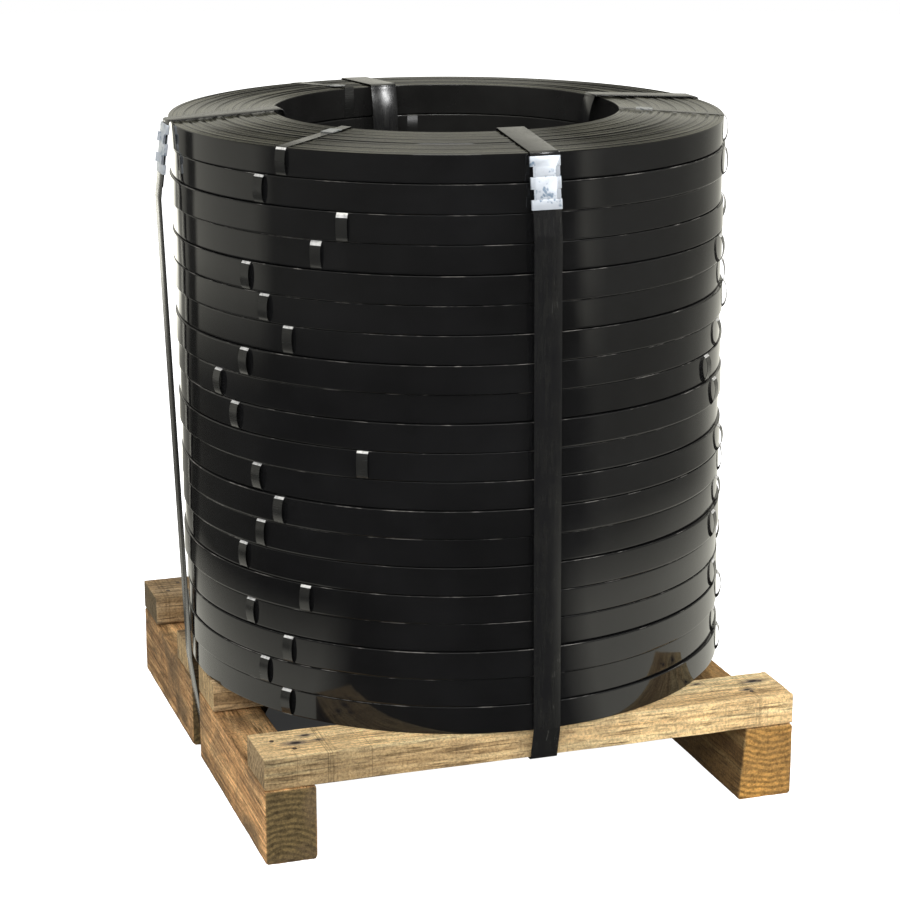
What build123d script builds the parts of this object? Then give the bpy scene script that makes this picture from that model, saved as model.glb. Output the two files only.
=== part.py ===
from build123d import *
import math
import os

# A unit load of black steel strapping: ribbon wound coils stacked flat on a timber skid,
# held down by four straps. Millimetres, +Z up. The origin is on the floor, under the axis
# of the stack. -Y is the side that the first strap closes on, X runs along the deck beams.

# Strapping on the coils
strip_width = 31.75
bore_diameter = 406.0
coil_diameter = 650.0
coil_count = 20
coil_wander = 1.5          # how far a coil sits off the axis of the stack
wander_turn = 137.5        # degrees from one coil's shift to the next one's
stack_lean = 8.0           # how far the top coil sits towards -X from the bottom one
top_dish = 7.0             # how far the inner turns of the top coil have crept up
turn_step = 0.7            # how far groups of its turns stand proud
turn_groups = 4

# Narrow bands that tie each coil, and the small clips that close them
band_width = 13.0
band_thickness = 0.5
band_bow = 5.5             # slack of a band outside the coil
band_clearance = 0.05
band_seal_length = 19.0
band_seal_wall = 0.5
band_seal_lip = 1.2
band_seal_inset = 20.0     # from the bore to the clip

# Where the first band of each coil sits, in degrees from +X, bottom coil first.
# The second follows a third of a turn on, and the third stands beside the back strap.
band_angles = [
    -144, -149, -143, -153, -138, -155, -149, -144, -150, -125,
    -156, -161, -152, -141, -146, -151, -134, -128, -147, -141,
]
band_spacing = 118.0
band_unevenness = 1.4      # degrees

# Straps that hold the stack on the skid, and their notched seals
strap_width = 32.0
strap_thickness = 0.8
strap_clearance = 0.1
strap_bend = 2.4           # inner radius where a strap turns a corner
strap_rim_gap = 1.5        # strap to coil at the top rim, room for the lips of the seal
strap_stand_off = 9.0      # strap to coil at the lower end of the seal
strap_deck_gap = 1.0       # strap to coil where it reaches the deck
front_strap_x = 5.0
back_strap_x = -22.0
side_strap_y = 30.0
seal_length = 57.0
seal_drop = 4.0            # from the top rim to the seal
seal_wall = 0.9
seal_lip = 9.0             # width of each lip folded behind the strap
strap_tail = 14.0          # end of the strap that runs on behind, below the seal
notch_length = 11.0
notch_depth = 3.5
notch_pitch = 24.0
notch_root = 1.2           # metal that a turned tab keeps at its root
notch_turn = 38.0          # degrees that a tab is turned out

# Timber skid
skid_length = 650.0        # along the runners, Y
skid_width = 638.0         # along the deck beams, X
skid_shift_x = 1.0         # middle of the skid from the axis of the stack
skid_shift_y = 9.0
runner_width = 60.0
runner_height = 88.0
runner_foot_spread = 8.0   # the right runner is sawn wider at its foot
beam_width = 80.0
beam_thickness = 37.5
slot_width = 40.0          # between the two middle beams, where the side straps pass
runner_notch_depth = 12.0  # strap notch in the outer side of a runner
runner_groove_depth = 7.0  # strap groove across its underside
arris = 2.0                # worn edges of the timber

# Derived sizes
bore_radius = bore_diameter / 2
coil_radius = coil_diameter / 2
coil_build = coil_radius - bore_radius
deck_top = runner_height + beam_thickness
coil_gap = band_thickness + band_clearance + band_seal_wall
coil_pitch = strip_width + coil_gap
seal_mid_radius = bore_radius + band_seal_inset + band_seal_length / 2
stack_top = deck_top + (coil_count - 1) * coil_pitch + strip_width
strap_corner_room = strap_bend * (1 - math.sqrt(0.5)) + strap_clearance
skid_left = skid_shift_x - skid_width / 2
skid_right = skid_shift_x + skid_width / 2
skid_front = skid_shift_y - skid_length / 2
skid_back = skid_shift_y + skid_length / 2
slot_front = side_strap_y - slot_width / 2
slot_back = side_strap_y + slot_width / 2


def outline(points):
    """Face of a closed outline drawn across X and Z."""
    return Plane.XZ * make_face(Polyline(*points, close=True))


def coil_base(index):
    """Height of the outer lower edge of a coil."""
    return deck_top + index * coil_pitch


def coil_dish(index):
    """How much higher the top face of a coil stands at the bore than at its outside."""
    return top_dish if index == coil_count - 1 else 0


def coil_centre(index):
    """The coils of the stack sit a little off its axis, each its own way, and the stack leans."""
    turn = math.radians(wander_turn * index)
    lean = stack_lean * (0.5 - index / coil_count)
    return Pos(coil_wander * math.cos(turn) + lean, coil_wander * math.sin(turn), 0)


def coil_edge(index, groups):
    """Upper edge of a coil's section, from its outside to the bore, in groups of turns."""
    upper = coil_base(index) + strip_width
    points = []
    for group in range(groups):
        proud = turn_step * (group % 2)
        for share in (group / groups, (group + 1) / groups):
            radius = coil_radius - share * coil_build
            points.append((radius, upper + share * coil_dish(index) - proud))
    return points


def coil(index):
    """One coil: its section turned round the bore."""
    groups = turn_groups if coil_dish(index) > 0 else 1
    lower = coil_base(index)
    section = [(bore_radius, lower), (coil_radius, lower)] + coil_edge(index, groups)
    return coil_centre(index) * revolve(outline(section), Axis.Z)


def band_beside_strap(index):
    """Direction of a coil's third band, clear of the back strap, on either side in turn."""
    half_room = strap_width / 2 + band_width / 2 + 2 * band_seal_lip
    side = 1 if index % 2 else -1
    across = coil_centre(index).position.X - back_strap_x + side * half_room
    uneven = band_unevenness * (index % 5)
    nearest = bore_radius if side * across > 0 else coil_radius
    return 90 + math.degrees(math.asin(across / nearest)) + side * uneven


def coil_band_angles(index):
    """The bands of one coil, as directions in degrees."""
    first = band_angles[index]
    return [first, first + band_spacing, band_beside_strap(index)]


def band_loop(index):
    """One band round the section of a coil, with its slack bowed out of the coil."""
    lower = coil_base(index)
    upper = lower + strip_width
    top_inner = upper + coil_dish(index)
    bore_face = math.sqrt(bore_radius ** 2 - (band_width / 2) ** 2) - band_clearance / 2
    rim_face = coil_radius + band_clearance / 2
    under = band_clearance / 2
    bow_rise = strip_width / 4
    inner = [
        (bore_face, lower - under),
        (rim_face, lower - under),
        (rim_face + band_bow, lower + bow_rise),
        (rim_face + band_bow, upper - bow_rise),
        (rim_face, upper + under),
        (bore_face, top_inner + under),
    ]
    t = band_thickness
    outer = [
        (bore_face - t, lower - under - t),
        (rim_face + t, lower - under - t),
        (rim_face + band_bow + t, lower + bow_rise),
        (rim_face + band_bow + t, upper - bow_rise),
        (rim_face + t, upper + under + t),
        (bore_face - t, top_inner + under + t),
    ]
    section = outline(outer) - outline(inner)
    return extrude(section, band_width / 2, both=True)


def coil_bands(index):
    """The bands of one coil, set round it."""
    loop = band_loop(index)
    place = coil_centre(index)
    return Compound([place * Rot(0, 0, angle) * loop for angle in coil_band_angles(index)])


def band_seal(index):
    """Clip folded over the band on top of a coil, near the bore."""
    tilt = math.degrees(math.atan2(coil_dish(index), coil_build))
    cover = Box(
        band_seal_length, band_width + 2 * band_seal_lip, coil_gap,
        align=(Align.CENTER, Align.CENTER, Align.MIN),
    )
    band_room = Box(
        band_seal_length * 2, band_width + band_clearance, band_thickness + band_clearance,
        align=(Align.CENTER, Align.CENTER, Align.MIN),
    )
    rise = coil_dish(index) * (coil_radius - seal_mid_radius) / coil_build
    height = coil_base(index) + strip_width + rise
    return Pos(seal_mid_radius, 0, height) * Rot(0, tilt, 0) * (cover - band_room)


def band_seals():
    """All the small clips: they keep the coils apart, and each coil lies on those below it."""
    clips = []
    for index in range(coil_count):
        clip = band_seal(index)
        for angle in coil_band_angles(index):
            clips.append(coil_centre(index) * Rot(0, 0, angle) * clip)
    return Compound(clips)


def lean_towards(direction, level):
    """How far the lean carries the stack's axis in a direction, from level 0, the deck, to 1."""
    return stack_lean * (0.5 - level) * math.cos(math.radians(direction))


def strap_rim_face(aside):
    """Furthest that a coil reaches outwards in front of a strap."""
    near = max(0, abs(aside) - strap_width / 2)
    return math.sqrt(coil_radius ** 2 - near ** 2) + coil_wander


def strap_bore_face(aside):
    """Where a strap clears the bore of a coil, with its bend inside the edge."""
    far = abs(aside) + strap_width / 2 + stack_lean / 2
    return math.sqrt(bore_radius ** 2 - far ** 2) - coil_wander - strap_bend


def strap_top_level(outwards):
    """Height of a strap's inner face over the sloping top of the uppermost coil."""
    share = (coil_radius + coil_wander - outwards) / coil_build
    return stack_top + share * top_dish + strap_clearance


def strap_lean():
    """Slope of a strap's upper end, which stands off more and more down to the seal's foot."""
    return (strap_stand_off - strap_rim_gap) / (seal_drop + seal_length)


def strap_route(direction, aside, foot_inner, foot_outer, foot_level):
    """Inner face of a strap as points (outwards, up), from its hidden tail to its outer end."""
    at_top = lean_towards(direction, 1)
    at_deck = lean_towards(direction, 0)
    rim = strap_rim_face(aside) + strap_rim_gap
    bore = strap_bore_face(aside)
    second_layer = strap_thickness + strap_clearance
    tail_drop = seal_drop + seal_length + strap_tail
    end_drop = tail_drop + strap_tail
    deck_edge = max(strap_rim_face(aside) + at_deck + strap_deck_gap, foot_outer + strap_corner_room)
    return [
        (rim + at_top + strap_lean() * tail_drop, stack_top - tail_drop),
        (rim + at_top, strap_top_level(rim)),
        (bore + at_top, strap_top_level(bore)),
        (bore + at_deck, deck_top),
        (foot_inner - strap_corner_room, foot_level - strap_corner_room),
        (foot_outer + strap_corner_room, foot_level - strap_corner_room),
        (deck_edge, deck_top),
        (rim + at_top + second_layer + strap_lean() * end_drop, stack_top - end_drop),
        (rim + at_top + second_layer + strap_lean() * seal_drop, stack_top - seal_drop),
    ]


def strap_side(direction, aside):
    """Frame on a strap at its seal: x outwards through it, y across it, z up along it."""
    rim = strap_rim_face(aside) + strap_rim_gap + lean_towards(direction, 1)
    lean_angle = math.degrees(math.atan(strap_lean()))
    start = rim + strap_lean() * seal_drop
    return Pos(start, 0, stack_top - seal_drop) * Rot(0, -lean_angle, 0)


def seal_notches(depth):
    """The four bites of the notching tool, two in each edge of the seal."""
    bites = []
    for side in (-1, 1):
        for row in (-0.5, 0.5):
            middle = -seal_length / 2 + row * notch_pitch
            across = side * (strap_width / 2 - notch_depth + depth / 2)
            bites.append(Pos(0, across, middle) * Box(depth, depth, notch_length))
    return bites


def strap(direction, aside, foot_inner, foot_outer, foot_level):
    """One strap as a closed band of flat steel, its ends lapped under the seal."""
    points = strap_route(direction, aside, foot_inner, foot_outer, foot_level)
    route = Plane.XZ * FilletPolyline(*points, radius=strap_bend)
    along = route % 0
    start = Plane(origin=route @ 0, x_dir=(along.Z, 0, -along.X), z_dir=along)
    flat = Rectangle(strap_thickness, strap_width, align=(Align.MIN, Align.CENTER))
    body = sweep(start * flat, path=route)
    for bite in seal_notches(2 * strap_width):
        body -= strap_side(direction, aside) * bite
    return body


def strap_seal(direction, aside):
    """Steel sleeve closed over both layers of a strap, its edges notched and turned out."""
    layers = 2 * strap_thickness + strap_clearance
    room = Box(layers + 2 * strap_clearance, strap_width + 2 * strap_clearance, 2 * seal_length)
    outside = Box(
        layers + 2 * strap_clearance + 2 * seal_wall,
        strap_width + 2 * strap_clearance + 2 * seal_wall,
        seal_length,
    )
    opening_width = strap_width + 2 * strap_clearance + 2 * seal_wall - 2 * seal_lip
    back_opening = Pos(-layers, 0, 0) * Box(layers, opening_width, 2 * seal_length)
    sleeve = Pos(layers / 2, 0, -seal_length / 2) * (outside - room - back_opening)
    for bite in seal_notches(2 * strap_width):
        sleeve -= bite
    for tab in seal_tabs(layers):
        sleeve += tab
    return strap_side(direction, aside) * sleeve


def seal_tabs(layers):
    """Metal of the notches, turned outwards along the inner end of each bite."""
    tabs = []
    face = layers + strap_clearance + seal_wall / 2
    hinge = strap_width / 2 - notch_depth - notch_root
    for side in (-1, 1):
        for row in (-0.5, 0.5):
            middle = -seal_length / 2 + row * notch_pitch
            leaf = Pos(0, side * (notch_depth + notch_root) / 2, 0) * Box(
                seal_wall, notch_depth + notch_root, notch_length - 2 * strap_clearance,
            )
            tabs.append(Pos(face, side * hinge, middle) * Rot(0, 0, -side * notch_turn) * leaf)
    return tabs


def timber(section, length, direction):
    """A sawn length of timber with its long edges worn round, centred on its own length."""
    body = extrude(section, length / 2, both=True)
    return fillet(body.edges().filter_by(direction), arris)


def runner(side):
    """One runner of the skid: side is -1 for the left one and 1 for the right one."""
    outer = skid_left if side < 0 else skid_right
    inner = outer - side * runner_width
    foot = inner - side * (runner_foot_spread if side > 0 else 0)
    section = outline([(outer, 0), (outer, runner_height), (inner, runner_height), (foot, 0)])
    body = Pos(0, skid_shift_y, 0) * timber(section, skid_length, Axis.Y)
    notch = Pos(outer, side_strap_y, 0) * Box(2 * runner_notch_depth, slot_width, 3 * runner_height)
    groove = Pos(outer, side_strap_y, 0) * Box(4 * runner_width, slot_width, 2 * runner_groove_depth)
    return body - notch - groove


def runner_inner(side, level):
    """Distance from the axis of the stack to a runner's inner face at a height."""
    if side < 0:
        return -skid_left - runner_width
    spread = runner_foot_spread * (1 - level / runner_height)
    return skid_right - runner_width - spread


def deck_beam(front):
    """One deck beam, from its front edge, with the bands of the lowest coil pressed into it."""
    middle = front + beam_width / 2
    level = runner_height + beam_thickness / 2
    section = Plane.YZ * Pos(middle, level) * Rectangle(beam_width, beam_thickness)
    body = Pos(skid_shift_x, 0, 0) * timber(section, skid_width, Axis.X)
    for angle in coil_band_angles(0):
        press = Pos((bore_radius + coil_radius) / 2, 0, deck_top) * Box(
            coil_build + 4 * band_thickness, band_width + 2 * band_clearance,
            2 * (band_thickness + 2 * band_clearance),
        )
        body -= coil_centre(0) * Rot(0, 0, angle) * press
    return body


def facing(direction, aside):
    """Turn a strap from the XZ plane to the side it closes on, and move it sideways."""
    return Rot(0, 0, direction) * Pos(0, aside, 0)


skid_parts = {
    "runner_left": runner(-1),
    "runner_right": runner(1),
    "deck_beam_front": deck_beam(skid_front),
    "deck_beam_middle_front": deck_beam(slot_front - beam_width),
    "deck_beam_middle_back": deck_beam(slot_back),
    "deck_beam_back": deck_beam(skid_back - beam_width),
}

# Each strap: the direction it closes on, its shift to the left of that direction seen from
# outside, the inner and outer face of the timber that it passes under, and their height.
groove_level = runner_groove_depth
left_foot = (runner_inner(-1, groove_level), -skid_left - runner_notch_depth, groove_level)
right_foot = (runner_inner(1, groove_level), skid_right - runner_notch_depth, groove_level)
strap_runs = {
    "front": (-90, front_strap_x, (-skid_front - beam_width, -skid_front, runner_height)),
    "back": (90, -back_strap_x, (skid_back - beam_width, skid_back, runner_height)),
    "left": (180, -side_strap_y, left_foot),
    "right": (0, side_strap_y, right_foot),
}

strap_parts = {}
for name, (direction, aside, foot) in strap_runs.items():
    place = facing(direction, aside)
    strap_parts["strap_" + name] = place * strap(direction, aside, *foot)
    strap_parts["strap_seal_" + name] = place * strap_seal(direction, aside)

coil_parts = {}
for index in range(coil_count):
    number = f"{index + 1:02d}"
    coil_parts["coil_" + number] = coil(index)
    coil_parts["coil_bands_" + number] = coil_bands(index)
coil_parts["band_seals"] = band_seals()

os.makedirs("parts", exist_ok=True)
for parts in (skid_parts, coil_parts, strap_parts):
    for node, shape in parts.items():
        export_step(shape, f"parts/{node}.step")
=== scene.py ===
import math
import random

import bmesh
import bpy
from mathutils import Matrix, Vector, noise


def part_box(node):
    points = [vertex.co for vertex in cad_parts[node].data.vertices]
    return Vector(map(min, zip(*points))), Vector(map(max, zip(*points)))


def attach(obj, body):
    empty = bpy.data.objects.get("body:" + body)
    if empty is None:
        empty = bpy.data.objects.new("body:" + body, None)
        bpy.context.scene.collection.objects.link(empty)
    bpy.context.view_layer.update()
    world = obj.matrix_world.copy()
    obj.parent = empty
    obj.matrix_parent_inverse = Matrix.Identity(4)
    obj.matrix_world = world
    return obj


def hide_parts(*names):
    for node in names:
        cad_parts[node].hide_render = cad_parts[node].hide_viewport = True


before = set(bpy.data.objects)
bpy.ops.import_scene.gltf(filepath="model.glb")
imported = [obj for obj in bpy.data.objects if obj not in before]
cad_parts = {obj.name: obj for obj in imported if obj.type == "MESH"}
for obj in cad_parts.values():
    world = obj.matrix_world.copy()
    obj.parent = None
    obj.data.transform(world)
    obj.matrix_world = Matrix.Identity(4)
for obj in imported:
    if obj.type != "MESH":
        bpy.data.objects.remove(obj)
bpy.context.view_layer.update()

# Runners of the skid: two lengths of rough sawn pine set on edge under the deck beams.
# Weathered orange brown, with a notch in the outer side where each side strap comes up.
timber_grit = 0.0025
timber_wear = 0.0007
wear_scale = 22
wear_steps = (3.1, 1.7, 0.9)
nibble_scale = 95
nibble_from = 0.1
nibble_depth = 0.005


def own_mesh(node):
    """The mesh of a solid with its loose triangles joined into one skin."""
    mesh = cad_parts[node].data.copy()
    skin = bmesh.new()
    skin.from_mesh(mesh)
    bmesh.ops.remove_doubles(skin, verts=skin.verts, dist=0.00001)
    bmesh.ops.dissolve_limit(
        skin, angle_limit=math.radians(0.5), verts=skin.verts, edges=skin.edges,
    )
    skin.to_mesh(mesh)
    skin.free()
    if "custom_normal" in mesh.attributes:
        mesh.attributes.remove(mesh.attributes["custom_normal"])
    return mesh


def show(name, mesh, materials, node_names):
    """Puts a finished mesh in the scene in place of its solids."""
    piece = bpy.data.objects.new(name, mesh)
    bpy.context.scene.collection.objects.link(piece)
    if mesh.materials:
        mesh.materials.clear()
    for material in materials:
        mesh.materials.append(material)
    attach(piece, "root")
    if node_names:
        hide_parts(*node_names)


def sawn_timber(node, seed):
    """Skin of a timber on a fine grid, its faces worn and its arrises nibbled."""
    raw = bpy.data.objects.new("raw_timber", own_mesh(node))
    bpy.context.scene.collection.objects.link(raw)
    grid = raw.modifiers.new("grid", "REMESH")
    grid.mode = "VOXEL"
    grid.voxel_size = timber_grit
    ready = raw.evaluated_get(bpy.context.evaluated_depsgraph_get())
    mesh = bpy.data.meshes.new_from_object(ready)
    bpy.data.objects.remove(raw)
    shift = Vector([seed * step for step in wear_steps])
    normals = [vertex.normal.copy() for vertex in mesh.vertices]
    for vertex, normal in zip(mesh.vertices, normals):
        broad = noise.noise(vertex.co * wear_scale + shift)
        nibble = max(0, noise.noise(vertex.co * nibble_scale + shift) - nibble_from)
        arris = 1 - max(abs(normal.x), abs(normal.y), abs(normal.z))
        drop = timber_wear * (0.5 + 0.5 * broad) + nibble * arris * nibble_depth
        vertex.co -= normal * drop
        vertex.co.z = max(vertex.co.z, 0)
    mesh.polygons.foreach_set("use_smooth", [True] * len(mesh.polygons))
    return mesh


def add_node(tree, kind, **settings):
    """One shader node, with its settings and plain input values."""
    node = tree.nodes.new(kind)
    for name, value in settings.items():
        if name in node.inputs:
            node.inputs[name].default_value = value
        else:
            setattr(node, name, value)
    return node


def new_material(name):
    """An empty material: its tree and its shader."""
    material = bpy.data.materials.new(name)
    material.use_nodes = True
    tree = material.node_tree
    return material, tree, tree.nodes["Principled BSDF"]


def feed(tree, socket, value):
    """Gives a socket its value: a link from another socket, a colour or a number."""
    if isinstance(value, bpy.types.NodeSocket):
        tree.links.new(value, socket)
    elif isinstance(value, tuple):
        socket.default_value = (*value, 1)
    else:
        socket.default_value = value


def coat(tree, shader, finish):
    """Gives the named inputs of a shader their values."""
    for name, value in finish.items():
        feed(tree, shader.inputs[name], value)


def ramp(tree, source, stops):
    """Colour ramp on a value: stops are (place, colour), where a number is a grey."""
    node = tree.nodes.new("ShaderNodeValToRGB")
    elements = node.color_ramp.elements
    while len(elements) < len(stops):
        elements.new(0.5)
    for element, (place, colour) in zip(elements, stops):
        element.position = place
        element.color = (*colour, 1) if isinstance(colour, tuple) else (colour, colour, colour, 1)
    tree.links.new(source, node.inputs["Fac"])
    return node.outputs["Color"]


def mixed(tree, amount, first, second, kind="MIX"):
    """Two colours mixed by an amount; each may be a socket or a plain value."""
    node = tree.nodes.new("ShaderNodeMix")
    node.data_type = "RGBA"
    node.blend_type = kind
    sockets = (node.inputs[0], node.inputs[6], node.inputs[7])
    for socket, value in zip(sockets, (amount, first, second)):
        feed(tree, socket, value)
    return node.outputs[2]


def mapped(tree, location=(0, 0, 0), scale=(1, 1, 1), rotation=(0, 0, 0)):
    """Object coordinates, moved, turned and stretched."""
    place = add_node(tree, "ShaderNodeTexCoord")
    mapping = add_node(tree, "ShaderNodeMapping", Location=location, Scale=scale, Rotation=rotation)
    tree.links.new(place.outputs["Object"], mapping.inputs["Vector"])
    return mapping.outputs["Vector"]


def centred(tree, centre, scale):
    """Object coordinates measured from a point, then stretched."""
    return mapped(tree, [-place * stretch for place, stretch in zip(centre, scale)], scale)


def noise_on(tree, vector, scale, detail=3.0, rough=0.5, distortion=0.0):
    """Value of a noise texture."""
    node = add_node(
        tree, "ShaderNodeTexNoise", Scale=scale, Detail=detail, Roughness=rough,
        Distortion=distortion,
    )
    tree.links.new(vector, node.inputs["Vector"])
    return node.outputs[0]


def maths(tree, kind, first, second=0):
    """One sum on two values or sockets."""
    node = add_node(tree, "ShaderNodeMath", operation=kind)
    for socket, value in zip(node.inputs, (first, second)):
        feed(tree, socket, value)
    return node.outputs[0]


def weighed(tree, first, second):
    """Two values added up, each given with its weight."""
    return maths(tree, "ADD", *(maths(tree, "MULTIPLY", *part) for part in (first, second)))


def length_of(tree, vector):
    """Length of a vector."""
    node = add_node(tree, "ShaderNodeVectorMath", operation="LENGTH")
    tree.links.new(vector, node.inputs[0])
    return node.outputs["Value"]


def parts_of(tree, vector):
    """The X, Y and Z of a vector."""
    node = add_node(tree, "ShaderNodeSeparateXYZ")
    tree.links.new(vector, node.inputs[0])
    return node.outputs


def bumped(tree, shader, height, strength, distance):
    """Relief on a shader."""
    node = add_node(tree, "ShaderNodeBump", Strength=strength, Distance=distance)
    tree.links.new(height, node.inputs["Height"])
    tree.links.new(node.outputs["Normal"], shader.inputs["Normal"])


def shaded(colour, factor):
    """A colour made darker or lighter."""
    return tuple(part * factor for part in colour)


def by_grain(along, with_grain, across):
    """One value for the axis along the grain and another for both across it."""
    return tuple(with_grain if axis == along else across for axis in "XYZ")


def fibres(tree, along, with_grain, across, detail, rough, turn=(0, 0, 0)):
    """Noise drawn out along the grain."""
    scale = by_grain(along, with_grain, across)
    return noise_on(tree, mapped(tree, scale=scale, rotation=turn), 1.0, detail, rough)


def shade_painted_on_side(tree, colour, normal, painted_side_shade):
    """Colour of one side with painted shade and light, going from the darkest to the lightest end of
    a way over it.
    """
    side, way, start, end, darkest, lightest = painted_side_shade
    stretch = 1 / (end - start)
    place = parts_of(tree, centred(tree, (start,) * 3, (stretch,) * 3))
    lit_share = ramp(tree, place[way], [(0.0, darkest), (1.0, lightest)])
    on_side = maths(tree, "ABSOLUTE", normal[side])
    return mixed(tree, on_side, colour, mixed(tree, 1.0, colour, lit_share, "MULTIPLY"))


def knotted(tree, colour, along, grime, knots):
    """Black knots, each (x, y, z, size), in rings of stained wood."""
    for x, y, z, size in knots:
        reach = length_of(tree, centred(tree, (x, y, z), by_grain(along, 0.45 / size, 1 / size)))
        uneven = maths(tree, "ADD", reach, maths(tree, "MULTIPLY", grime, 0.9))
        stain = ramp(tree, maths(tree, "MULTIPLY", uneven, 0.5), [(0.45, 1), (0.95, 0)])
        colour = mixed(tree, maths(tree, "MULTIPLY", stain, 0.75), colour, (0.11, 0.10, 0.10))
        core = ramp(tree, uneven, [(0.75, 1), (1.0, 0)])
        colour = mixed(tree, core, colour, (0.022, 0.018, 0.017))
    return colour


def pine(
    name, along, pith, tones, end_tone, weather, weather_share, streak_turn, marks,
    knots=(), painted_side_shade=None,
):
    """Sawn pine: fibres along the grain, rings on its ends, saw marks, stains, knots and, if given,
    painted shade on one side.
    """
    material, tree, shader = new_material(name)
    pale, tan, dark = tones
    facing = add_node(tree, "ShaderNodeTexCoord")
    normal = parts_of(tree, facing.outputs["Normal"])
    end_share = maths(tree, "POWER", maths(tree, "ABSOLUTE", normal[along]), 4.0)
    rings = add_node(
        tree, "ShaderNodeTexWave", wave_type="RINGS", rings_direction=along,
        Scale=44.0, Distortion=4.0, Detail=3.0,
    )
    rings.inputs["Detail Scale"].default_value = 1.4
    tree.links.new(centred(tree, pith, by_grain(along, 0.12, 1)), rings.inputs["Vector"])
    ring_tone = rings.outputs[1]
    streaks = fibres(tree, along, 20, 420, 5, 0.7, streak_turn)
    broad = fibres(tree, along, 2.5, 60, 4, 0.6, streak_turn)
    grime = fibres(tree, along, 26, 120, 6, 0.75)
    blade = fibres(tree, along, 48, 0.35, 3, 0.6)
    stain = noise_on(tree, mapped(tree), 11.0, 6, 0.66, 0.8)
    torn = noise_on(tree, mapped(tree), 330.0, 4, 0.7)

    grain = weighed(tree, (ring_tone, 0.09), (broad, 0.91))
    colour = ramp(tree, grain, [(0.34, pale), (0.50, tan), (0.70, dark)])
    streak_tone = ramp(tree, streaks, [
        (0.38, (0.30, 0.27, 0.23)), (0.47, (0.98, 0.97, 0.95)), (0.66, (1.18, 1.16, 1.12)),
    ])
    colour = mixed(tree, 0.9, colour, streak_tone, "MULTIPLY")
    ends = ramp(tree, ring_tone, [(0.25, shaded(end_tone, 1.08)), (0.80, shaded(end_tone, 0.60))])
    colour = mixed(tree, end_share, colour, ends)
    weathered = ramp(tree, stain, [(0.43, 0), (0.62, 1)])
    colour = mixed(tree, maths(tree, "MULTIPLY", weathered, weather_share), colour, weather)
    specks = ramp(tree, grime, [
        (0.30, (1.25, 1.22, 1.15)), (0.50, 1), (0.66, (0.38, 0.34, 0.30)),
    ])
    colour = mixed(tree, 0.68, colour, specks, "MULTIPLY")
    flecks = ramp(tree, torn, [
        (0.36, (0.66, 0.63, 0.60)), (0.50, 1), (0.68, (1.35, 1.32, 1.25)),
    ])
    colour = mixed(tree, 0.9, colour, flecks, "MULTIPLY")
    cut = ramp(tree, blade, [(0.588, 1), (0.600, (0.40, 0.37, 0.34)), (0.612, 1)])
    colour = mixed(tree, marks, colour, cut, "MULTIPLY")
    # Painted shade and light on one side of the timber, darker towards one end.
    if painted_side_shade:
        colour = shade_painted_on_side(tree, colour, normal, painted_side_shade)
    colour = knotted(tree, colour, along, grime, knots)

    coat(tree, shader, {"Base Color": colour, "Roughness": 0.88, "Specular IOR Level": 0.2})
    relief = weighed(tree, (streaks, 0.8), (torn, 0.4))
    relief = maths(tree, "ADD", relief, maths(tree, "MULTIPLY", grime, 0.6))
    bumped(tree, shader, relief, 0.9, 0.0022)
    return material


# Painted shade and light: the sides of the left runner darken towards the back and lighten towards
# the front.
left_pine = pine(
    "left_runner_pine", along="Y", pith=(-0.295, 0, -0.02),
    tones=((0.86, 0.56, 0.27), (0.57, 0.33, 0.145), (0.22, 0.12, 0.052)),
    end_tone=(0.155, 0.11, 0.046), weather=(0.160, 0.112, 0.062), weather_share=0.80,
    streak_turn=(0.65, 0, 0), marks=0.3, painted_side_shade=("X", "Y", 0.30, -0.28, 0.72, 1.30),
)
# Painted shade: the inner side of the right runner is made dark, as it lies in the shade of the
# stack.
right_pine = pine(
    "right_runner_pine", along="Y", pith=(0.30, 0, 0.15),
    tones=((0.80, 0.54, 0.24), (0.60, 0.36, 0.14), (0.28, 0.15, 0.055)),
    end_tone=(0.64, 0.35, 0.096), weather=(0.24, 0.145, 0.06), weather_share=0.50,
    streak_turn=(-0.6, 0, 0), marks=0.3, painted_side_shade=("X", "X", 0.26, 0.33, 0.30, 1.0),
)
show("left_runner", sawn_timber("runner_left", 1), [left_pine], ["runner_left"])
show("right_runner", sawn_timber("runner_right", 2), [right_pine], ["runner_right"])

# Deck beams: four sawn pine boards laid across the runners and nailed to them. The front
# one is the cleanest, tan with open grain; the others are greyer where the weather got in.
front_knots = [
    (-0.272, -0.276, 0.1255, 0.0070), (-0.256, -0.258, 0.1255, 0.0045),
    (-0.245, -0.274, 0.1255, 0.0034), (0.292, -0.262, 0.1255, 0.0070),
    (0.274, -0.285, 0.1255, 0.0040), (0.225, -0.250, 0.1255, 0.0036),
]
# Painted shade: the front and back faces of the front beam darken towards the left end.
front_pine = pine(
    "front_beam_pine", along="X", pith=(0.05, -0.40, 0.02),
    tones=((1.0, 0.82, 0.47), (0.98, 0.71, 0.37), (0.56, 0.36, 0.165)),
    end_tone=(0.30, 0.21, 0.11), weather=(0.50, 0.365, 0.20), weather_share=0.50,
    streak_turn=(0, 0, 0), marks=0.75, knots=front_knots,
    painted_side_shade=("Y", "X", -0.31, 0.16, 0.36, 0.92),
)


def grey_pine(name, end_tone, weather_share):
    """The greyer pine of the beams behind the front one."""
    return pine(
        name, along="X", pith=(0, 0.55, 0.22),
        tones=((0.70, 0.52, 0.31), (0.46, 0.32, 0.17), (0.22, 0.14, 0.07)),
        end_tone=end_tone, weather=(0.17, 0.135, 0.09), weather_share=weather_share,
        streak_turn=(0, 0, 0), marks=0.5,
    )


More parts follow.
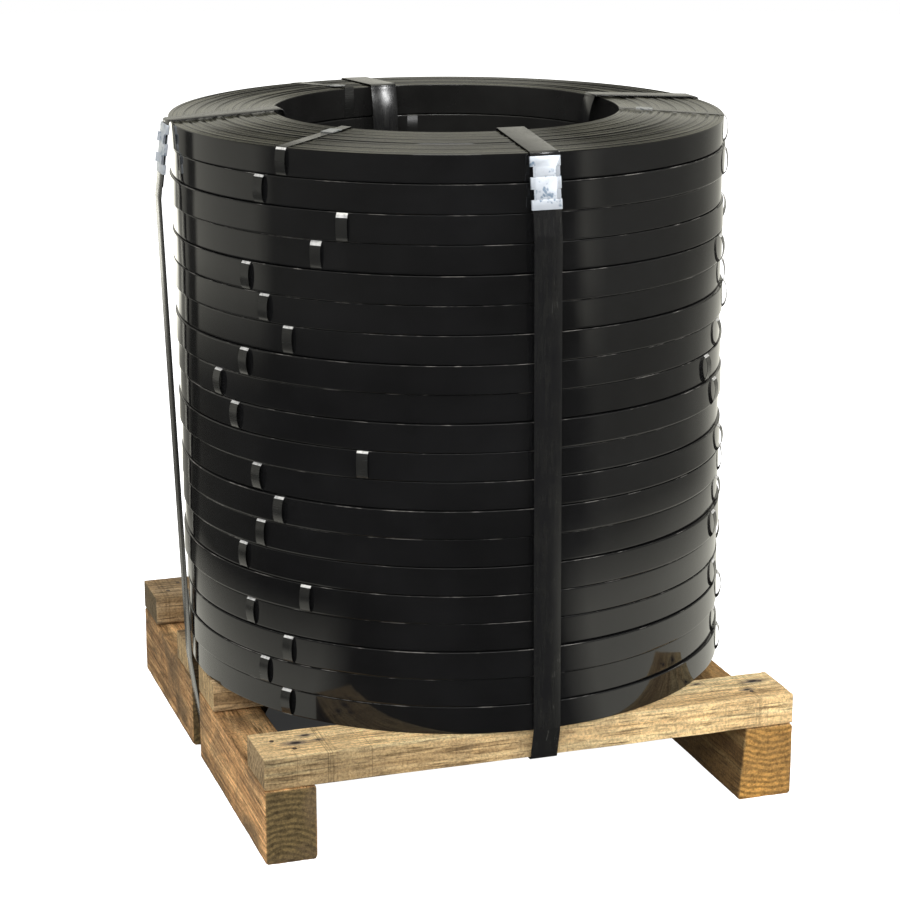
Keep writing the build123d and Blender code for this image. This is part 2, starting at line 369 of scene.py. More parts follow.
rear_pine = grey_pine("rear_beam_pine", (0.17, 0.125, 0.066), 0.75)
middle_pine = grey_pine("middle_beam_pine", (0.60, 0.43, 0.22), 0.55)
beams = (
    ("deck_beam_front", "front_deck_beam", front_pine),
    ("deck_beam_middle_front", "third_deck_beam", middle_pine),
    ("deck_beam_middle_back", "second_deck_beam", middle_pine),
    ("deck_beam_back", "rear_deck_beam", rear_pine),
)
for seed, (node, name, timber) in enumerate(beams, start=3):
    show(name, sawn_timber(node, seed), [timber], [node])

# Nails: round wire nails driven through the end beams into the runners, their flat heads
# a little below the face of the wood and gone dull brown.
nail_head_radius = 0.0030
nail_head_taper = 0.86
nail_head_height = 0.0014
nail_head_sink = 0.0006
nail_insets = (0.022, 0.041, -0.020, -0.043)
nail_rows = (0.052, 0.024)

nail_mesh = bpy.data.meshes.new("nail_heads")
nails = bmesh.new()
for node, inward in (("deck_beam_front", 1), ("deck_beam_back", -1)):
    low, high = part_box(node)
    outer_y = low.y if inward > 0 else high.y
    for number, inset in enumerate(nail_insets):
        x = (low.x if inset > 0 else high.x) + inset
        y = outer_y + inward * nail_rows[number % 2]
        head = bmesh.ops.create_cone(
            nails, cap_ends=True, segments=16, radius1=nail_head_radius,
            radius2=nail_head_radius * nail_head_taper, depth=nail_head_height,
        )
        bmesh.ops.translate(nails, verts=head["verts"], vec=(x, y, high.z - nail_head_sink))
nails.to_mesh(nail_mesh)
nails.free()

nail_steel, tree, shader = new_material("dull_nail_steel")
rust = noise_on(tree, mapped(tree), 900, 3)
rust_tone = ramp(tree, rust, [(0.4, (0.05, 0.045, 0.04)), (0.6, (0.13, 0.07, 0.04))])
coat(tree, shader, {"Base Color": rust_tone, "Metallic": 0.6, "Roughness": 0.55})
show("nail_heads", nail_mesh, [nail_steel], [])

# Coils: flat steel strapping wound turn on turn like ribbon and painted gloss black.
# Twenty of them lie on each other; each stands a little off its neighbours and is not
# perfectly round, so the light breaks differently on every one.
strip_edge_radius = 0.0006
strip_crown = 0.00012
coil_radius = 0.325
bore_radius = 0.203
coil_segments = 256
coil_count = 20
coil_nodes = [f"coil_{number:02d}" for number in range(1, coil_count + 1)]
wall_waves = ((2, 0.00022), (3, 0.00016), (5, 0.00010), (9, 0.00005))
wall_leans = ((1, 0.00014), (3, 0.00012), (4, 0.00008))


def coil_place(node):
    """Centre, lower and upper level of a coil."""
    low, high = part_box(node)
    middle = (low + high) / 2
    return Vector((middle.x, middle.y, 0)), low.z, high.z


def turned(profile, segments):
    """A closed outline of (radius, height) spun once round the upright axis."""
    ring = bmesh.new()
    corners = [ring.verts.new((radius, 0, height)) for radius, height in profile]
    for first, second in zip(corners, corners[1:] + corners[:1]):
        ring.edges.new((first, second))
    bmesh.ops.spin(
        ring, geom=ring.verts[:] + ring.edges[:], angle=math.tau, steps=segments,
        axis=(0, 0, 1), cent=(0, 0, 0), use_merge=True,
    )
    bmesh.ops.remove_doubles(ring, verts=ring.verts, dist=0.000005)
    bmesh.ops.recalc_face_normals(ring, faces=ring.faces)
    return ring


def strip_side(radius, low, high, outward):
    """Points up one side of a coil, from its lower to its upper rounded edge."""
    edge = strip_edge_radius
    cut = 0.3 * edge
    points = [(radius - outward * edge, low), (radius - outward * cut, low + cut)]
    points += [(radius, low + edge), (radius, low + 3 * edge)]
    points.append((radius + outward * strip_crown, (low + high) / 2))
    points += [(radius, high - 3 * edge), (radius, high - edge)]
    points += [(radius - outward * cut, high - cut), (radius - outward * edge, high)]
    return points


def out_of_round(ring, centre, low, high, seed):
    """Moves a ring to its place and lets its wall wander by tenths of a millimetre."""
    chance = random.Random(seed)
    waves = [(count, chance.uniform(0, math.tau), size) for count, size in wall_waves]
    leans = [(count, chance.uniform(0, math.tau), size) for count, size in wall_leans]
    half = (high - low) / 2
    for vert in ring.verts:
        angle = math.atan2(vert.co.y, vert.co.x)
        level = (vert.co.z - low) / half - 1
        push = sum(size * math.sin(count * angle + start) for count, start, size in waves)
        push += level * sum(size * math.sin(count * angle + start) for count, start, size in leans)
        direction = Vector((math.cos(angle), math.sin(angle), 0))
        vert.co += direction * push + centre


def coil_finish(spot, edge_finish):
    """Number of the material at a spot: 0 outside, 1 on its edge finish, 2 in the bore."""
    in_bore = spot.xy.length < bore_radius + strip_edge_radius
    return 1 if edge_finish else 2 if in_bore else 0


def black_paint(name, tone, rough_low, rough_high):
    """Gloss black paint on steel strip, with faint rubbing and dust."""
    material, tree, shader = new_material(name)
    broad = noise_on(tree, mapped(tree), 9.0, 4, 0.6)
    rubbed = noise_on(tree, mapped(tree, scale=(60, 60, 900)), 1.0, 4, 0.6)
    runs = noise_on(tree, mapped(tree, scale=(85, 85, 3)), 1.0, 3, 0.6)
    colour = ramp(tree, broad, [(0.35, shaded(tone, 0.8)), (0.7, shaded(tone, 1.35))])
    worn = weighed(tree, (broad, 0.6), (rubbed, 0.4))
    rough = ramp(tree, worn, [(0.38, rough_low), (0.66, rough_high)])
    coat(tree, shader, {"Base Color": colour, "Roughness": rough, "IOR": 1.5})
    bumped(tree, shader, weighed(tree, (rubbed, 0.2), (runs, 3.0)), 0.03, 0.0004)
    return material


coil_paint = black_paint("black_coil_paint", (0.0070, 0.0070, 0.0073), 0.045, 0.10)
# Painted light: the bore walls get a lighter copy of the coil paint, standing in for light that does
# not reach into the bore.
lighter_bore_paint = black_paint("bore_wall_paint_painted_lighter", (0.0150, 0.0147, 0.0140), 0.10, 0.22)

# Upper outer corner of each coil: patches of light grey, partly paint rubbed bare and partly painted
# glints along the seams.
corner_wear_and_glint, tree, shader = new_material("strip_corner_wear_and_painted_glint")
worn = noise_on(tree, mapped(tree, scale=(26, 26, 60)), 1.0, 5, 0.7)
edge_finish = ramp(tree, worn, [(0.52, 0), (0.64, 1)])
colour = mixed(tree, edge_finish, (0.012, 0.012, 0.012), (0.20, 0.19, 0.175))
coat(tree, shader, {"Base Color": colour, "Roughness": 0.45, "Specular IOR Level": 0.2})

coil_finishes = [coil_paint, corner_wear_and_glint, lighter_bore_paint]
for number, node in enumerate(coil_nodes[:-1]):
    centre, low, high = coil_place(node)
    outline = strip_side(bore_radius, low, high, -1) + strip_side(coil_radius, low, high, 1)[::-1]
    ring = turned(outline, coil_segments)
    for face in ring.faces:
        spot = face.calc_center_median()
        at_rim = spot.xy.length > coil_radius - strip_edge_radius
        face.material_index = coil_finish(spot, at_rim and spot.z > high - strip_edge_radius)
    out_of_round(ring, centre, low, high, 40 + number)
    coil_mesh = bpy.data.meshes.new(node + "_turns")
    ring.to_mesh(coil_mesh)
    ring.free()
    coil_mesh.polygons.foreach_set("use_smooth", [True] * len(coil_mesh.polygons))
    show(node + "_turns", coil_mesh, coil_finishes, [node])

# The uppermost coil: the same strip, with its turns in sight. Their edges stand unevenly,
# in groups that have crept up towards the bore, and are greyer where the paint is thin.
turn_count = 104
turn_gap = 0.00022
turn_depth = 0.0022
turn_width = (coil_radius - bore_radius) / turn_count
top_segments = 180
top_rise = 0.007
bore_edge_drop = 0.001
rim_round = 0.0004
most_group_drop = 0.0019
most_turn_drop = 0.00035
group_sizes = (2, 3, 4, 5, 7)
loose_gaps = (2.2, 3.2)
edges_reach = 0.004

centre, low, high = coil_place(coil_nodes[-1])
rim_level = high - top_rise
chance = random.Random(7)
crest = []
group_drop = 0.0002
group_left = 5
for turn in range(turn_count):
    group_left -= 1
    loose = group_left == 0
    if loose:
        group_drop = chance.uniform(0, most_group_drop)
        group_left = chance.choice(group_sizes)
    share = turn / turn_count
    level = rim_level + share * top_rise - group_drop - chance.uniform(0, most_turn_drop)
    outer = coil_radius - turn * turn_width - turn_gap / 2
    inner = outer - turn_width + turn_gap * (chance.uniform(*loose_gaps) if loose else 1)
    foot = level - turn_depth
    crest += [(outer, foot), (outer, level), (inner, level), (inner, foot)]
edge_level = crest[1][1]
outline = strip_side(bore_radius, low, high - bore_edge_drop, -1)[:-2]
outline += crest[::-1][:-2] + [(coil_radius - rim_round, edge_level)]
outline += strip_side(coil_radius, low, edge_level, 1)[-2::-1]
ring = turned(outline, top_segments)
for face in ring.faces:
    face.smooth = abs(face.normal.z) < 0.5
    spot = face.calc_center_median()
    on_top = face.normal.z > 0.6 and spot.z > rim_level - edges_reach
    face.material_index = coil_finish(spot, on_top)
out_of_round(ring, centre, low, high, 61)
top_mesh = bpy.data.meshes.new("coil_20_turns")
ring.to_mesh(top_mesh)
ring.free()

strip_edges, tree, shader = new_material("strip_edges")
flat_at = centred(tree, (centre.x, centre.y, 0), (1, 1, 0))
lines = add_node(
    tree, "ShaderNodeTexNoise", noise_dimensions="1D", Scale=1.0, Detail=4.0, Roughness=0.75,
)
tree.links.new(maths(tree, "MULTIPLY", length_of(tree, flat_at), 420.0), lines.inputs["W"])
patches = noise_on(tree, mapped(tree), 14.0, 5, 0.65)
both = weighed(tree, (lines.outputs[0], 0.75), (patches, 0.25))
edge_tone = ramp(tree, both, [
    (0.38, (0.002, 0.002, 0.001)), (0.47, (0.022, 0.021, 0.014)), (0.60, (0.120, 0.116, 0.080)),
])
edge_rough = ramp(tree, both, [(0.35, 0.32), (0.6, 0.42)])
coat(tree, shader, {
    "Base Color": edge_tone, "Roughness": edge_rough, "Anisotropic": 0.90, "Tangent": flat_at,
})
top_finishes = [coil_paint, strip_edges, lighter_bore_paint]
show("coil_20_turns", top_mesh, top_finishes, [coil_nodes[-1]])

# Bands: three narrow dark steel bands round each coil keep it from springing open. Each is
# pulled flat over the coil's faces, stands away from its outside in a bow, and the next
# coil lies on it. The third one stands beside the back strap.
band_width = 0.013
band_thickness = 0.0005
band_angles = [
    -144, -149, -143, -153, -138, -155, -149, -144, -150, -125,
    -156, -161, -152, -141, -146, -151, -134, -128, -147, -141,
]
band_spacing = 118
band_lift = 0.0003
band_corner = 0.001
band_in_bore = 0.0004
bow_foot = 0.0005
bow_foot_level = 0.0002
bow_start = 0.0006
bow_fullness = 0.55
bow_steps = 12
bow_range = (0.0036, 0.0058)
sag_range = (0.85, 1.15)
tilt_range = (-0.5, 0.5)
clip_lip = 0.0012
strap_width = 0.032
back_strap_x = -0.022
third_band_step = 1.4
bends_with_tall_highlight = (17, 16)
tall_highlight_height = 0.0048
highlight_height = 0.0020
highlight_from = 0.0004


def third_band(index, centre):
    """Direction of a coil's third band, clear of the back strap on either side in turn."""
    half_room = strap_width / 2 + band_width / 2 + 2 * clip_lip
    side = 1 if index % 2 else -1
    across = centre.x - back_strap_x + side * half_room
    nearest = bore_radius if side * across > 0 else coil_radius
    return 90 + math.degrees(math.asin(across / nearest)) + side * third_band_step * (index % 5)


def band_directions(index):
    """The three bands of a coil, in degrees."""
    centre = coil_place(coil_nodes[index])[0]
    first = band_angles[index]
    return [first, first + band_spacing, third_band(index, centre)]


def band_line(low, high, rise, bow, sag):
    """Middle line of a band round a coil's section, as (outwards, up)."""
    inner = bore_radius - band_in_bore
    under = low - band_lift
    over = high + rise + band_lift
    points = [(inner, under + band_corner), (inner + band_corner, under)]
    points += [(coil_radius - band_corner, under), (coil_radius + bow_foot, low + bow_foot_level)]
    for step in range(1, bow_steps):
        share = step / bow_steps
        swell = math.sin(math.pi * share ** sag) ** bow_fullness
        points.append((coil_radius + bow_start + bow * swell, low + (high - low) * share))
    points.append((coil_radius + bow_foot, high - bow_foot_level))
    points.append((coil_radius - band_corner, high + band_lift))
    points += [(inner + band_corner, over), (inner, over - band_corner)]
    return points


band_steel = black_paint("black_band_paint", (0.017, 0.017, 0.016), 0.20, 0.32)
# Painted highlight: on the top bend of each band, outside its coil, a pale grey stands in for the
# light the bend catches; on two bands the patch reaches further down.
bend_highlight, tree, shader = new_material("band_bend_painted_highlight")
cloud = noise_on(tree, mapped(tree), 220.0, 3, 0.6)
highlight_tone = ramp(tree, cloud, [(0.35, (0.50, 0.50, 0.49)), (0.6, (0.80, 0.79, 0.77))])
coat(tree, shader, {"Base Color": highlight_tone, "Metallic": 0.25, "Roughness": 0.30})

chance = random.Random(23)
for index, node in enumerate(coil_nodes):
    centre, low, high = coil_place(node)
    rise = top_rise if index == coil_count - 1 else 0
    bands = bmesh.new()
    for direction in band_directions(index):
        bow = chance.uniform(*bow_range)
        line = band_line(low, high - rise, rise, bow, chance.uniform(*sag_range))
        before = set(bands.verts)
        corners = [bands.verts.new((out, -band_width / 2, up)) for out, up in line]
        loop = [bands.edges.new(pair) for pair in zip(corners, corners[1:] + corners[:1])]
        wide = bmesh.ops.extrude_edge_only(bands, edges=loop)["geom"]
        moved = [part for part in wide if isinstance(part, bmesh.types.BMVert)]
        bmesh.ops.translate(bands, verts=moved, vec=(0, band_width, 0))
        faces = [part for part in wide if isinstance(part, bmesh.types.BMFace)]
        bmesh.ops.recalc_face_normals(bands, faces=faces)
        bmesh.ops.solidify(bands, geom=faces, thickness=band_thickness)
        fresh = [vert for vert in bands.verts if vert not in before]
        tilt = Matrix.Rotation(math.radians(chance.uniform(*tilt_range)), 4, "X")
        middle = Vector((coil_radius, 0, (low + high) / 2))
        bmesh.ops.transform(bands, matrix=tilt, space=Matrix.Translation(-middle), verts=fresh)
        turn = Matrix.Translation(centre) @ Matrix.Rotation(math.radians(direction), 4, "Z")
        bmesh.ops.transform(bands, matrix=turn, verts=fresh)
    # Faces high on the outer bend get the painted highlight.
    painted_highlight_height = tall_highlight_height if index in bends_with_tall_highlight else highlight_height
    for face in bands.faces:
        face.smooth = True
        spot = face.calc_center_median()
        outside = (spot.xy - centre.xy).length > coil_radius + highlight_from
        face.material_index = 1 if outside and spot.z > high - rise - painted_highlight_height else 0
    band_mesh = bpy.data.meshes.new("bands_of_" + node)
    bands.to_mesh(band_mesh)
    bands.free()
    band_mesh.set_sharp_from_angle(angle=math.radians(50))
    band_node = node.replace("coil_", "coil_bands_")
    show("bands_of_" + node, band_mesh, [band_steel, bend_highlight], [band_node])

# Clips: short zinc coated channels folded over each band on top of its coil; those on the top
# coil, which are in sight, are crimped in two places. Those between coils carry the coil above.
clip_length = 0.019
clip_width = band_width + 2 * clip_lip
clip_height = 0.00105
clip_inset = 0.020
clip_middle = bore_radius + clip_inset + clip_length / 2
crimp_places = (-0.0045, 0.0045)
crimp_reach = 0.0022
crimp_pinch = 0.13
crimp_swell = 0.0005

clip_mesh = bpy.data.meshes.new("band_clips")
clips = bmesh.new()
for index, node in enumerate(coil_nodes):
    centre, low, high = coil_place(node)
    in_sight = index == coil_count - 1
    dish = top_rise if in_sight else 0
    wall = coil_radius - bore_radius
    level = high - dish + dish * (coil_radius - clip_middle) / wall
    slope = Matrix.Rotation(math.atan2(dish, wall), 4, "Y")
    for direction in band_directions(index):
        made = len(clips.verts)
        block = bmesh.ops.create_cube(clips, size=1)["verts"]
        bmesh.ops.scale(clips, verts=block, vec=(clip_length, clip_width, clip_height))
        long_edges = {edge for vert in block for edge in vert.link_edges
                      if abs(edge.verts[0].co.x - edge.verts[1].co.x) > clip_length / 2}
        bmesh.ops.subdivide_edges(clips, edges=list(long_edges), cuts=11 if in_sight else 3)
        clips.verts.ensure_lookup_table()
        fresh = clips.verts[made:]
        for vert in fresh:
            near = min(abs(vert.co.x - place) for place in crimp_places)
            pinch = max(0, 1 - near / crimp_reach) if in_sight else 0
            vert.co.y *= 1 - crimp_pinch * pinch
            vert.co.z += crimp_swell * pinch if vert.co.z > 0 else 0
        bmesh.ops.translate(clips, verts=fresh, vec=(0, 0, clip_height / 2))
        turn = Matrix.Translation(centre) @ Matrix.Rotation(math.radians(direction), 4, "Z")
        turn = turn @ Matrix.Translation((clip_middle, 0, level)) @ slope
        bmesh.ops.transform(clips, matrix=turn, verts=fresh)
clips.to_mesh(clip_mesh)
clips.free()


def zinc(name, tone, shine):
    """Bright zinc coating on thin steel: mottled, and blue grey where it is dull."""
    material, tree, shader = new_material(name)
    flakes = add_node(tree, "ShaderNodeTexVoronoi", Scale=260.0)
    tree.links.new(mapped(tree), flakes.inputs["Vector"])
    cloud = noise_on(tree, mapped(tree), 62.0, 5, 0.65, 0.8)
    patch = weighed(tree, (cloud, 0.8), (flakes.outputs["Distance"], 0.2))
    dull = tuple(part * share for part, share in zip(tone, (0.36, 0.46, 0.56)))
    colour = ramp(tree, patch, [(0.38, dull), (0.45, tone)])
    rough = ramp(tree, patch, [(0.3, 0.30), (0.7, 0.50)])
    coat(tree, shader, {"Base Color": colour, "Roughness": rough, "Metallic": shine})
    bumped(tree, shader, patch, 0.35, 0.0006)
    return material


clip_zinc = zinc("clip_zinc", (0.40, 0.41, 0.41), 0.70)
show("band_clips", clip_mesh, [clip_zinc], ["band_seals"])

# Straps: four runs of 32 mm black steel strapping, each closed through the bore, over the
# stack and under the skid. Their ends lap under a seal just below the top rim, and their
# runs in the bore hang slack.
strap_names = ("front", "back", "left", "right")
top_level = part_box("strap_front")[1].z
strap_edge_round = 0.00018
strap_slack = 0.013
slack_depth = 0.030
slack_length = 0.655
slack_start = 0.0035
bore_run_inside = 0.19985
cut_start = 0.004
cut_step = 0.0011
cut_count = 21
deck_level = 0.088
front_shift_top = -0.0080
front_shift_deck = 0.0030
shift_start_y = 0.200
shift_full_y = 0.325


def eased_copy(node, edge_round):
    """The skin of a solid with its sharp edges rounded off by a hair."""
    mesh = own_mesh(node)
    skin = bmesh.new()
    skin.from_mesh(mesh)
    sharp_fold = math.radians(40)
    sharp = [edge for edge in skin.edges if edge.is_manifold and edge.calc_face_angle(0) > sharp_fold]
    bmesh.ops.bevel(
        skin, geom=sharp, offset=edge_round, offset_type="OFFSET", affect="EDGES",
        segments=2, profile=0.5, material=-1, clamp_overlap=True,
    )
    for face in skin.faces:
        face.smooth = True
    skin.to_mesh(mesh)
    skin.free()
    mesh.set_sharp_from_angle(angle=math.radians(35))
    return mesh


def share_of(value, start, end):
    """How far a value has gone from the start to the end, from 0 to 1."""
    return min(1, max(0, (value - start) / (end - start)))


def front_shift(place):
    """How far the front strap strays sideways: it leans with the stack outside."""
    level = share_of(place.z, deck_level, top_level)
    outside = share_of(abs(place.y), shift_start_y, shift_full_y)
    return outside * (front_shift_deck + (front_shift_top - front_shift_deck) * level)


strap_paint, tree, shader = new_material("black_strap_paint")
scuffs = noise_on(tree, mapped(tree, scale=(260, 260, 22)), 1.0, 5, 0.7)
smears = noise_on(tree, mapped(tree), 30.0, 5, 0.6)
worn = weighed(tree, (scuffs, 0.6), (smears, 0.4))
strap_tone = ramp(tree, worn, [
    (0.40, (0.009, 0.009, 0.010)), (0.62, (0.014, 0.014, 0.013)), (0.76, (0.09, 0.088, 0.082)),
])
strap_rough = ramp(tree, worn, [(0.35, 0.15), (0.65, 0.28)])
coat(tree, shader, {"Base Color": strap_tone, "Roughness": strap_rough, "IOR": 1.45})
bumped(tree, shader, worn, 0.12, 0.0005)

for name in strap_names:
    strap_mesh = eased_copy("strap_" + name, strap_edge_round)
    across = 1 if name in ("front", "back") else 0
    run = bmesh.new()
    run.from_mesh(strap_mesh)
    for step in range(1, cut_count + 1):
        level = Vector((0, 0, top_level - cut_start - cut_step * step ** 1.5))
        whole = run.verts[:] + run.edges[:] + run.faces[:]
        bmesh.ops.bisect_plane(run, geom=whole, plane_co=level, plane_no=(0, 0, 1))
    for vert in run.verts:
        depth = top_level - slack_start - vert.co.z
        if abs(vert.co[across]) < bore_run_inside and 0 < depth < slack_length:
            fade = (1 - math.exp(-depth / slack_depth)) * (1 - depth / slack_length)
            vert.co[across] -= math.copysign(strap_slack * fade, vert.co[across])
        if name == "front":
            vert.co.x += front_shift(vert.co)
    run.to_mesh(strap_mesh)
    run.free()
    show(name + "_strap", strap_mesh, [strap_paint], ["strap_" + name])

# Seals: zinc coated steel sleeves folded round both ends of a strap and locked by two
# pairs of notches, whose cut metal is turned outwards as sharp little tabs.
seal_edge_round = 0.00016
# The seals' zinc is pale and mostly matt: its own light grey, with a painted sheen standing in for
# the bright reflection of the coating.
seal_zinc_and_painted_sheen = zinc("seal_zinc_and_painted_sheen", (0.50, 0.535, 0.58), 0.25)
for name in strap_names:
    seal_mesh = eased_copy("strap_seal_" + name, seal_edge_round)
    if name == "front":
        for vertex in seal_mesh.vertices:
            vertex.co.x += front_shift(vertex.co)
    show(name + "_strap_seal", seal_mesh, [seal_zinc_and_painted_sheen], ["strap_seal_" + name])

# Floor and surroundings: a plain white studio, with a painted shadow on the floor between the
# runners, as the photo keeps it: the paper itself is dark there. What the gloss of the coils
# mirrors is graded round the stack, as in a real light tent. Tones are (share of the way round,
# brightness).
viewer_turn = math.radians(-71.7)
tent_strength = 3.0
tent_centre = (0.17, -0.056, 0)
near_tones = [
    (0.00, 0.01), (0.105, 0.01), (0.140, 0.36), (0.30, 0.34), (0.40, 0.34), (0.48, 0.5),
    (0.535, 1.0), (0.582, 1.0), (0.597, 0.30), (0.632, 0.28), (0.640, 0.03), (0.656, 0.03),
    (0.664, 0.32), (0.872, 0.30), (0.905, 0.01), (1.00, 0.01),
]
middle_tones = [
    (0.00, 0.01), (0.14, 0.015), (0.165, 0.085), (0.29, 0.09), (0.34, 0.14), (0.40, 0.3),
    (0.48, 0.5), (0.522, 0.9), (0.556, 0.9), (0.578, 0.12), (0.628, 0.05), (0.640, 0.01),
    (0.656, 0.01), (0.664, 0.028), (0.77, 0.025), (0.80, 0.01), (1.00, 0.01),
]
far_tones = [
    (0.00, 0.015), (0.14, 0.02), (0.155, 0.23), (0.18, 0.10), (0.29, 0.08), (0.35, 0.10),
    (0.42, 0.2), (0.48, 0.4), (0.535, 1.0), (0.582, 1.0), (0.597, 0.14), (0.634, 0.09),
    (0.640, 0.02), (0.656, 0.02), (0.664, 0.23), (0.775, 0.23), (0.80, 0.05), (1.00, 0.02),
]
near_to_middle = (0.85, 1.30)
middle_to_far = (2.3, 3.4)
glossy_tint = (1.0, 0.980, 0.860)
shade_spans = {"X": (-0.27, 0.27), "Y": (-0.29, 0.36)}
shade_softness = 0.05
shade_seen_y = (-0.04, 0.0)
paper_lift = 0.03


def tent_light(tree, vector, tones):
    """Brightness round the stack, starting and ending at the viewer's side."""
    turn = add_node(tree, "ShaderNodeMapping", Rotation=(0, 0, viewer_turn))
    tree.links.new(vector, turn.inputs["Vector"])
    around = add_node(tree, "ShaderNodeTexGradient", gradient_type="RADIAL")
    tree.links.new(turn.outputs["Vector"], around.inputs["Vector"])
    return maths(tree, "MULTIPLY", ramp(tree, around.outputs["Fac"], tones), tent_strength)


def between(tree, value, start, end):
    """Rises from 0 at the start to 1 at the end."""
    node = add_node(tree, "ShaderNodeMapRange")
    node.inputs["From Min"].default_value = start
    node.inputs["From Max"].default_value = end
    tree.links.new(value, node.inputs["Value"])
    return node.outputs["Result"]


def within_shade(tree, spot):
    """1 on the shaded floor under the stack and 0 outside it, with soft edges."""
    inside = []
    for axis, (low, high) in shade_spans.items():
        begins = between(tree, spot[axis], low - shade_softness, low + shade_softness)
        ends = between(tree, spot[axis], high + shade_softness, high - shade_softness)
        inside.append(maths(tree, "MULTIPLY", begins, ends))
    return maths(tree, "MULTIPLY", *inside)


floor_mesh = bpy.data.meshes.new("studio_floor")
sheet = bmesh.new()
bmesh.ops.create_circle(sheet, cap_ends=True, segments=96, radius=9)
sheet.to_mesh(floor_mesh)
sheet.free()
floor = bpy.data.objects.new("studio_floor", floor_mesh)
bpy.context.scene.collection.objects.link(floor)
floor_paper = bpy.data.materials.new("studio_floor_paper")
floor_paper.use_nodes = True
floor_mesh.materials.append(floor_paper)

tree = floor_paper.node_tree
tree.nodes.clear()
path = add_node(tree, "ShaderNodeLightPath")
floor_at = mapped(tree)
spot = parts_of(tree, floor_at)
dark = within_shade(tree, spot)
seen_dark = maths(tree, "MULTIPLY", dark, between(tree, spot["Y"], *shade_seen_y))
white = between(tree, seen_dark, 1.0, 0.0)
paper = add_node(tree, "ShaderNodeBsdfDiffuse")
# Painted shadow: the paper turns dark grey-green under the stack.
paper_tone = mixed(
    tree, maths(tree, "SUBTRACT", 1.0, dark), (0.045, 0.050, 0.042), (0.8, 0.8, 0.8),
)
tree.links.new(paper_tone, paper.inputs["Color"])

distance = length_of(tree, centred(tree, tent_centre, (1, 1, 1)))
near, middle, far = (
    tent_light(tree, floor_at, tones) for tones in (near_tones, middle_tones, far_tones)
)
tone = mixed(tree, between(tree, distance, *near_to_middle), near, middle)
tone = mixed(tree, between(tree, distance, *middle_to_far), tone, far)
mirrored = maths(tree, "MULTIPLY", path.outputs["Is Glossy Ray"], tone)
seen = maths(tree, "MULTIPLY", path.outputs["Is Camera Ray"], maths(tree, "ADD", white, paper_lift))
glow = add_node(tree, "ShaderNodeEmission")
coat(tree, glow, {
    "Color": mixed(tree, path.outputs["Is Glossy Ray"], (1, 1, 1), glossy_tint),
    "Strength": maths(tree, "ADD", seen, mirrored),
})
black = add_node(tree, "ShaderNodeBsdfDiffuse", Color=(0, 0, 0, 1))
matt = add_node(tree, "ShaderNodeMixShader")
sources = (path.outputs["Is Glossy Ray"], paper.outputs[0], black.outputs[0])
for source, socket in zip(sources, matt.inputs):
    tree.links.new(source, socket)
whole = add_node(tree, "ShaderNodeAddShader")
tree.links.new(matt.outputs[0], whole.inputs[0])
tree.links.new(glow.outputs[0], whole.inputs[1])
out = add_node(tree, "ShaderNodeOutputMaterial")
tree.links.new(whole.outputs[0], out.inputs["Surface"])

wall_tones = [
    (0.00, 0.02), (0.15, 0.03), (0.25, 0.12), (0.42, 0.22), (0.50, 0.26), (0.58, 0.28),
    (0.70, 0.24), (0.80, 0.10), (0.88, 0.02), (1.00, 0.02),
]
roof_line = (0.36, 0.52)
roof_strength = 0.15
zenith_line = (0.78, 0.92)
zenith_strength = 3.0
room_strength = 0.55
world = bpy.data.worlds.new("light_tent")
bpy.context.scene.world = world
world.use_nodes = True
tree = world.node_tree
tree.nodes.clear()
path = add_node(tree, "ShaderNodeLightPath")
sky_at = add_node(tree, "ShaderNodeTexCoord").outputs["Generated"]
height = parts_of(tree, sky_at)["Z"]
walls = tent_light(tree, sky_at, wall_tones)
walls = maths(tree, "MULTIPLY", walls, between(tree, height, *roof_line[::-1]))
roof = weighed(
    tree, (between(tree, height, *roof_line), roof_strength),
    (between(tree, height, *zenith_line), zenith_strength),
)
mirrored = maths(tree, "MULTIPLY", path.outputs["Is Glossy Ray"], maths(tree, "MAXIMUM", walls, roof))
plain = maths(tree, "MULTIPLY", path.outputs["Is Diffuse Ray"], room_strength)
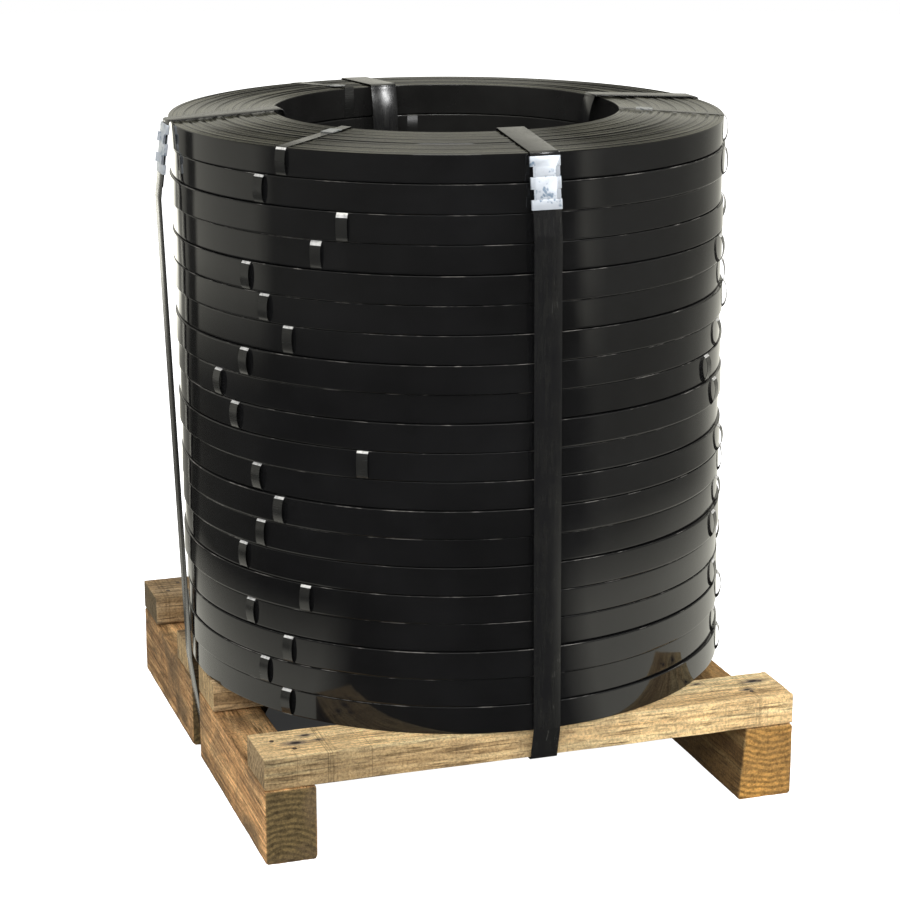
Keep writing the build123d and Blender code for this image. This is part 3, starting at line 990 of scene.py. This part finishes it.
seen = maths(tree, "ADD", plain, path.outputs["Is Camera Ray"])
sky = add_node(tree, "ShaderNodeBackground")
coat(tree, sky, {
    "Color": mixed(tree, path.outputs["Is Glossy Ray"], (1, 1, 1), glossy_tint),
    "Strength": maths(tree, "ADD", seen, mirrored),
})
out = add_node(tree, "ShaderNodeOutputWorld")
tree.links.new(sky.outputs[0], out.inputs["Surface"])

# Lamps: a large soft box overhead and one on each side in front, which only light, and two
# in front that the coils mirror, the narrow one for the reflections on the bends of the bands.
# Each row is name, place, width, height, watts, whether gloss mirrors it and whether it lights.
lamp_target = Vector((0, 0, 0.45))
lamps = (
    ("overhead_box", (0.2, 0.4, 3.2), 2.6, 2.6, 40, False, True),
    ("left_box", (-2.4, -1.9, 1.9), 1.6, 1.6, 20, False, True),
    ("right_box", (2.3, -2.2, 1.6), 1.6, 1.6, 28, False, True),
    ("bend_box", (1.0, -2.5, 2.05), 0.5, 0.9, 62, True, False),
    ("shoulder_box", (-0.95, -2.95, 2.35), 1.5, 0.75, 46, True, True),
)
for name, place, width, height, power, is_mirrored, is_light in lamps:
    lamp = bpy.data.lights.new(name, "AREA")
    lamp.shape = "RECTANGLE"
    lamp.size = width
    lamp.size_y = height
    lamp.energy = power
    holder = bpy.data.objects.new(name, lamp)
    holder.location = place
    holder.rotation_euler = (lamp_target - Vector(place)).to_track_quat("-Z", "Y").to_euler()
    holder.visible_glossy = is_mirrored
    holder.visible_diffuse = is_light
    bpy.context.scene.collection.objects.link(holder)

# Camera: a long lens a little above the stack, turned as the photograph is.
lens = bpy.data.cameras.new("camera")
lens.lens = 100.04
lens.sensor_width = 36
lens.clip_end = 100
dip, roll, turn = 0.2736, 0.0003, -0.3196
camera = bpy.data.objects.new("camera", lens)
camera.location = (-0.92234, -2.79035, 1.19070)
camera.rotation_euler = (math.pi / 2 - dip, roll, turn)
bpy.context.scene.collection.objects.link(camera)
bpy.context.scene.camera = camera
bpy.context.scene.view_settings.view_transform = "Standard"
